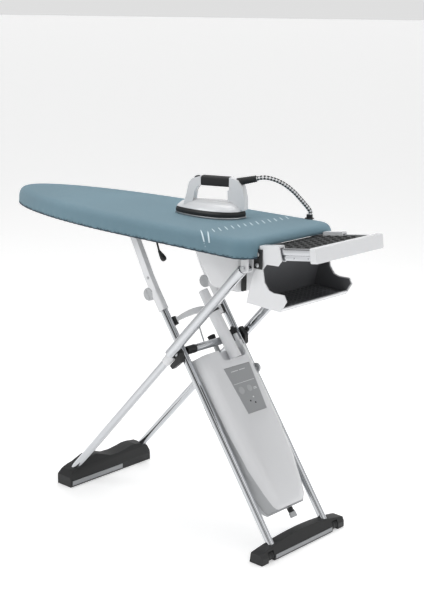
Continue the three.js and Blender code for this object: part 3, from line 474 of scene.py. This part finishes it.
LOOKS = {
    "board": {
        STEEL: "runner_rail_near runner_rail_far fan_motor",
        WHITE: "fan_housing tail_bracket_near tail_bracket_far compartment_shell",
        LINER: "compartment_liner", BLACK: "hose_socket"},
    "iron_rest": {WHITE: "tray_bar", BLACK: "tray_plate", RUBBER: "tray_mat",
                  CHROME: "tray_rail_near tray_rail_far"},
    "front_leg": {CHROME: "leg_b_tube_near leg_b_tube_far",
                  BLACK: "pivot_block_near pivot_block_far foot_b"},
    "rear_leg": {
        WHITE: "leg_a_arm_near leg_a_arm_far arched_crossmember generator_front_shell steam_duct",
        GREY: "knuckle_disc_near knuckle_disc_far generator_rear_shell",
        STEEL: "runner_rod", PANEL: "control_panel", BRASS: "boiler", FELT: "water_tank", BLACK: "foot_a"},
    "iron": {STEEL: "iron_soleplate", BLACK: "iron_heat_band", WHITE: "iron_body iron_handle",
             RUBBER: "iron_grip"},
    "fan_impeller_body": {BLACK: "fan_impeller"},
    "release_lever_body": {BLACK: "release_lever"},
    "power_button_body": {BUTTON: "power_button"},
    "steam_button_body": {BUTTON: "steam_button"},
    "side_switch_body": {BUTTON: "side_switch"},
    "filler_cap_left_body": {BLACK: "filler_cap_left"},
    "filler_cap_right_body": {BLACK: "filler_cap_right"},
    "drain_cap_body": {BLACK: "drain_cap"},
}
WIDE_EDGES = {"generator_front_shell": 0.0022, "generator_rear_shell": 0.003, "tray_bar": 0.0016,
              "foot_a": 0.003, "foot_b": 0.003, "iron_handle": 0.004, "compartment_shell": 0.0014,
              "leg_a_arm_near": 0.0025, "leg_a_arm_far": 0.0025, "iron_grip": 0.003, "fan_housing": 0.0015,
              "compartment_liner": 0.0008, "control_panel": 0.0012, "iron_body": 0.002, "steam_duct": 0.0012,
              "pivot_block_near": 0.002, "pivot_block_far": 0.002}
NARROW_EDGE = 0.0006
for body, looks in LOOKS.items():
    for mat, names in looks.items():
        for node in names.split():
            refine(node, body, mat, WIDE_EDGES.get(node, NARROW_EDGE))

# The front shell's flanks are grey below a line that widens towards the bottom.
shell = bpy.data.objects["generator_front_shell_skin"]
shell.data.materials.append(GREY)
bm = bmesh.new()
bm.from_mesh(shell.data)
seam = (at(LEG_A, 440, 0, 20) - at(LEG_A, 0, 0, 0)).normalized()
seam_point = at(LEG_A, 2, 0, -100)
everything = bm.verts[:] + bm.edges[:] + bm.faces[:]
bmesh.ops.bisect_plane(bm, geom=everything, plane_co=seam_point, plane_no=seam)
for face in bm.faces:
    if (face.calc_center_median() - seam_point).dot(seam) < 0:
        face.material_index = 1
bm.to_mesh(shell.data)
bm.free()

# ------------------------------------------------------------ tubes, wheels, rollers and bolts
REAR_TUBE_R = 12
KNUCKLE = (-24.2, 204.4)    # centre of the knuckle disc, across and along the rear leg
TRACK_WHEEL = (19.9, 410.8)
ROLLER = (659, 15)
for side, sign in SIDES:
    rear_y, front_y = sign * REAR_TUBE_Y, sign * FRONT_TUBE_Y
    bar(f"rear_tube_{side}", LEG_A, (0, rear_y, -626), (0, rear_y, 138), REAR_TUBE_R, CHROME, "rear_leg",
        (f"leg_a_tube_{side}",))
    turned(f"thin_tube_{side}", [(12.5, 0), (12.5, 634.5), (14, 635), (14, 670), (13, 672)], LEG_B,
           (FRONT_TUBE_N, front_y, -690), (FRONT_TUBE_N, front_y, -18), CHROME, "front_leg",
           nodes=(f"leg_b_thin_tube_{side}",))
    turned(f"thin_tube_collar_{side}", [(13.6, 0), (14.6, 0.8), (14.6, 35), (13.8, 36.5)], LEG_B,
           (FRONT_TUBE_N, front_y, -55), (FRONT_TUBE_N, front_y, -18), WHITE, "front_leg")
    roller = [(4, 0), (13, 0), (14, 1), (14, 8), (13.4, 9), (13.4, 13), (14, 14), (14, 21), (13, 22), (4, 22)]
    roller_x, roller_z = ROLLER
    turned(f"foot_roller_{side}", roller, BOARD, (roller_x, front_y - 11, roller_z),
           (roller_x, front_y + 11, roller_z), RUBBER, f"roller_{side}_body", nodes=(f"roller_{side}",))
    wheel = [(3.6, 0), (6.2, 0), (7, 0.8), (7, 6.4), (6.6, 7), (6.6, 8), (7, 8.6), (7, 14.2), (6.2, 15),
             (3.6, 15)]
    wheel_n, wheel_s = TRACK_WHEEL
    y0, y1 = sorted((sign * 65, sign * 80))
    turned(f"track_wheel_{side}", wheel, LEG_A, (wheel_n, y0, wheel_s), (wheel_n, y1, wheel_s), BLACK,
           f"runner_wheel_{side}_body", nodes=(f"runner_wheel_{side}",))
    y0, y1 = sorted((sign * 72, sign * 111))
    turned(f"axle_sleeve_{side}", [(11.9, 0), (13, 0.8), (13, 38), (11.9, 39)], LEG_A, (0, y0, 0), (0, y1, 0),
           BLACK, "rear_leg")
    y0, y1 = sorted((sign * 100.5, sign * 111.3))
    plate(f"cross_clamp_{side}", LEG_A, -10.4, 10.4, y0, y1, 83.6, 110.4, BLACK, "rear_leg", 0.0008)
    turned(f"arm_screw_{side}", [(0.6, 0), (3.6, 0), (4.6, 0.6), (4.6, 1.6), (3.9, 2.3), (0.6, 2.4)], LEG_A,
           (4, sign * 132.2, 246.5), (4, sign * 140, 246.5), STEEL, "rear_leg", 32)
    turned(f"block_bolt_{side}", [(0.6, 0), (7.2, 0), (8, 0.8), (8, 3), (6.4, 4.2), (0.6, 4.6)], LEG_B,
           (0, sign * 152.3, 0), (0, sign * 160, 0), STEEL, "front_leg", 32)

    # The knuckle disc's near face: a dark recess, a rim and four bars that cross at its centre.
    disc_n, disc_s = KNUCKLE
    face_y = rear_y - 9.2
    centre, outward = (disc_n, face_y, disc_s), (disc_n, face_y - 10, disc_s)
    turned(f"disc_recess_{side}", [(0.6, 0), (16, 0), (16.4, 0.2), (0.6, 0.4)], LEG_A, centre, outward, BLACK,
           "rear_leg", 40)
    turned(f"disc_rim_{side}", [(16.2, 0), (19.6, 0), (19.2, 1.1), (16.8, 1.1)], LEG_A, centre, outward, GREY,
           "rear_leg", 40)
    hub = LEG_A @ Matrix.Translation(Vector(centre) / 1000)
    for k in range(4):
        spoke = hub @ Matrix.Rotation(math.pi / 4 * k, 4, "Y")
        plate(f"disc_spoke_{side}_{k}", spoke, -17, 17, -1.2 + 0.05 * k, -0.2, -1.1, 1.1, GREY, "rear_leg",
              0.0002)

    # The bracket that holds the tail's pivot, with its bolts.
    y0, y1 = sorted((sign * 152.2, sign * 155.4))
    plate(f"stay_bracket_{side}", BOARD, 579, 614, y0, y1, 852, 908, BLACK, "board", 0.001)
    for k, z in enumerate((863, 893)):
        turned(f"stay_bolt_{side}_{k}", [(0.6, 0), (5.4, 0), (6, 0.7), (6, 2), (4.6, 3), (0.6, 3.2)], BOARD,
               (599, sign * 155.2, z), (599, sign * 165, z), STEEL, "board", 32)
    turned(f"pivot_bolt_{side}", [(0.6, 0), (7.6, 0), (8.4, 0.9), (8.4, 3), (6.6, 4.4), (0.6, 4.7)], BOARD,
           (572.6, sign * 184.6, 851.9), (572.6, sign * 195, 851.9), STEEL, "board", 32)

plate("drain_tab", LEG_A, -4, 4, 1.5, 25.5, -577, -561, GREY, "drain_cap_body", 0.0006)
bar("axle_bar", LEG_A, (0, -152, 0), (0, 152, 0), 5, CHROME, "rear_leg", ("crossing_axle",))
bar("axle_tube", LEG_A, (0, -111, 0), (0, 111, 0), 12, CHROME, "rear_leg")
bar("lock_rod", LEG_A, (0, -24, 12.8), (0, -10, 94), 2.5, STEEL, "rear_leg")

# The hose's boot: ribs 3 mm apart on a slight taper, leaning back along the handle's end.
BOOT_END = (258, 0, 120)
ribs = [(11.2 - 0.03 * h + (0.5 if (h // 3) % 2 else -0.5), h + 0.001) for h in range(1, 61)]
turned("hose_boot_ribbed", [(1, 0), *ribs, (8.6, 61.5), (7, 62)], IRON,
       (BOOT_END[0] - 60.37, 0, BOOT_END[2] - 14.09), BOOT_END, RUBBER, "iron", nodes=("hose_boot",),
       smooth=80)

# ------------------------------------------------------------ printed and fitted details
plate("rear_foot_strip", BOARD, 672.6, 675, -132, 132, 5, 17, STRIP, "rear_leg", 0.0004)
plate("front_foot_strip", BOARD, -150.4, -148, -184, 40, 5, 20, STRIP, "front_leg", 0.0004)
plate("panel_divider", LEG_A, PANEL_FACE, PANEL_FACE + 0.5, -34, 58, -151.6, -150.4, PRINT, "rear_leg",
      0.0001)
for k, y in enumerate((-14, 22)):
    inner, outer, s = 10.4 - 1.5 * k, 12 - 1.5 * k, -174
    turned(f"button_ring_{k}", [(inner, 0), (outer, 0.3), (outer, 0.9), (inner, 1.2)], LEG_A,
           (PANEL_FACE - 0.2, y, s), (PANEL_FACE + 2, y, s), BUTTON, "rear_leg", 48)
for k, (y0, y1, s) in enumerate(((38, 52, -176), (38, 52, -180), (-22, 8, -112), (14, 40, -112))):
    plate(f"panel_bar_{k}", LEG_A, PANEL_FACE, PANEL_FACE + 0.4, y0, y1, s - 0.9, s + 0.9, PRINT, "rear_leg",
          0.0001)
for k, (y, s) in enumerate(((22, -203), (21, -221), (4, -212))):
    turned(f"panel_lamp_{k}", [(0.4, 0), (2.6, 0), (2.4, 0.6), (0.4, 1.0)], LEG_A, (PANEL_FACE, y, s),
           (PANEL_FACE + 2, y, s), DARK_SPOT if k else PRINT, "rear_leg", 24)
turned("duct_collar", [(16.4, 0), (20.4, 0.6), (20.4, 7), (18.9, 8)], LEG_A, (33.5, 34, 84), (33.5, 33, 92),
       BLACK, "rear_leg")
turned("duct_lip", [(13, 0), (14, 0.4), (14, 3), (13, 3.4), (10, 3.4)], LEG_A, (33.5, 32.1, 119),
       (33.5, 32, 123), BLACK, "rear_leg")
# A black strip down the fan housing's right side: painted shade, standing in for the darker band where the
# housing turns away from the light.
plate("housing_painted_shade", BOARD, 489, 496, -97, -80, 760, 904, BLACK, "board", 0.001)
turned("iron_thumb_button", [(1, 0), (8.8, 0), (9.4, 1.4), (8.8, 3.4), (6.4, 5.2), (3, 6), (0.6, 6.1)], IRON,
       (71.6, 0, 112), (62.1, 0, 140.5), BLACK, "iron_steam_button_body", nodes=("iron_steam_button",),
       smooth=70)
turned("iron_lens", [(0.4, 0), (3.2, 0), (3, 0.7), (0.4, 1)], IRON, (46.2, 0, 80), (42, 0, 81), DARK_SPOT,
       "iron", 32)

# Studs of the heat-proof mat, in rows of nine.
STUD_SIDES = 12
STUD_PROFILE = ((6.4, -0.2), (6.0, 2.4), (4.6, 3.4))
verts, faces = [], []
for n, y in [(14 + row * 29, -104 + column * 26) for row in range(6) for column in range(9)]:
    base = len(verts)
    for r, h in STUD_PROFILE:
        turns = [2 * math.pi * i / STUD_SIDES for i in range(STUD_SIDES)]
        verts += [at(TRAY, n + r * math.cos(a), y + r * math.sin(a), h) for a in turns]
    for low in (base, base + STUD_SIDES):
        high = low + STUD_SIDES
        for i in range(STUD_SIDES):
            j = (i + 1) % STUD_SIDES
            faces.append((low + i, low + j, high + j, high + i))
    faces.append(tuple(base + 2 * STUD_SIDES + i for i in range(STUD_SIDES)))
finish_mesh("mat_studs", mesh_from(verts, faces, "mat_studs"), RUBBER, "iron_rest", 50)

# Ribs along the storage compartment's floor.
verts, faces = [], []
for k in range(15):
    y = -126 + k * 18
    base = len(verts)
    for x, z in ((572, 753.2), (674, 749.2)):
        verts += [B(x, y - 1.4, z), B(x, y, z + 2.2), B(x, y + 1.4, z)]
    faces += [(base, base + 1, base + 4, base + 3), (base + 1, base + 2, base + 5, base + 4),
              (base, base + 2, base + 1), (base + 3, base + 4, base + 5)]
finish_mesh("bin_floor_ribs", mesh_from(verts, faces, "bin_floor_ribs"), LINER, "board", 20)

# ------------------------------------------------------------ floor, world and light
floor_mat = bpy.data.materials.new("floor")
floor_mat.use_nodes = True
fn = floor_mat.node_tree
principled = fn.nodes["Principled BSDF"]
principled.inputs["Roughness"].default_value = 0.32
cloud = fn.nodes.new("ShaderNodeTexNoise")
cloud.inputs["Scale"].default_value = 0.8
tone = fn.nodes.new("ShaderNodeValToRGB")
tone.color_ramp.elements[0].color = (0.94, 0.94, 0.94, 1)
tone.color_ramp.elements[1].color = (0.96, 0.96, 0.96, 1)
fn.links.new(cloud.outputs["Fac"], tone.inputs["Fac"])
fn.links.new(tone.outputs["Color"], principled.inputs["Base Color"])
fn.links.new(tone.outputs["Color"], principled.inputs["Emission Color"])
principled.inputs["Emission Strength"].default_value = 0.38
FLOOR_HALF = 60
FLOOR_Z = -0.0006
corners = [(x * FLOOR_HALF, y * FLOOR_HALF, FLOOR_Z) for x, y in ((-1, -1), (1, -1), (1, 1), (-1, 1))]
floor_mesh = mesh_from(corners, [(0, 1, 2, 3)], "floor")
floor_mesh.materials.append(floor_mat)
floor = bpy.data.objects.new("floor", floor_mesh)
bpy.context.collection.objects.link(floor)

# Above the horizon, a room of soft light panels with dark gaps between them, which the chrome reflects.
world = bpy.data.worlds.new("studio")
bpy.context.scene.world = world
world.use_nodes = True
wn = world.node_tree
toward = wn.nodes.new("ShaderNodeTexCoord")
split = wn.nodes.new("ShaderNodeTexGradient")
split.gradient_type = "RADIAL"
wn.links.new(toward.outputs["Generated"], split.inputs["Vector"])
panels = wn.nodes.new("ShaderNodeValToRGB")
BRIGHT, DARK = 1.0, 0.03
# Each dark gap: where the panel before it ends, where the gap starts and ends, where the next panel starts.
GAPS = ((0.03, 0.05, 0.13, 0.15), (0.24, 0.26, 0.36, 0.38), (0.46, 0.48, 0.58, 0.60),
        (0.70, 0.72, 0.81, 0.83))
ramp = panels.color_ramp
for element in ramp.elements:
    element.color = (BRIGHT, BRIGHT, BRIGHT, 1)
for gap in GAPS:
    for position, value in zip(gap, (BRIGHT, DARK, DARK, BRIGHT)):
        ramp.elements.new(position).color = (value, value, value, 1)
wn.links.new(split.outputs["Fac"], panels.inputs["Fac"])
height = wn.nodes.new("ShaderNodeSeparateXYZ")
wn.links.new(toward.outputs["Generated"], height.inputs["Vector"])
above = wn.nodes.new("ShaderNodeMapRange")
above.inputs["From Min"].default_value = 0.27
above.inputs["From Max"].default_value = 0.36
wn.links.new(height.outputs["Z"], above.inputs["Value"])
blend = wn.nodes.new("ShaderNodeMix")
blend.data_type = "RGBA"
blend.inputs["A"].default_value = (1, 1, 1, 1)
wn.links.new(above.outputs["Result"], blend.inputs["Factor"])
wn.links.new(panels.outputs["Color"], blend.inputs["B"])
wn.links.new(blend.outputs["Result"], wn.nodes["Background"].inputs["Color"])
wn.nodes["Background"].inputs["Strength"].default_value = 0.74


def area(name, location, target, size, power):
    lamp = bpy.data.lights.new(name, "AREA")
    lamp.shape = "RECTANGLE"
    lamp.size, lamp.size_y = size
    lamp.energy = power
    obj = bpy.data.objects.new(name, lamp)
    bpy.context.collection.objects.link(obj)
    obj.location = location
    obj.rotation_euler = (Vector(target) - Vector(location)).to_track_quat("-Z", "Y").to_euler()


area("key", (-1.2, -3.2, 3.4), (0, 0, 0.5), (2.4, 1.6), 62)
area("fill", (3.6, 0.6, 1.8), (0.1, 0, 0.6), (1.6, 2.2), 16)
area("top", (0.2, 0.6, 3.6), (0, 0, 0.6), (3.0, 2.0), 62)
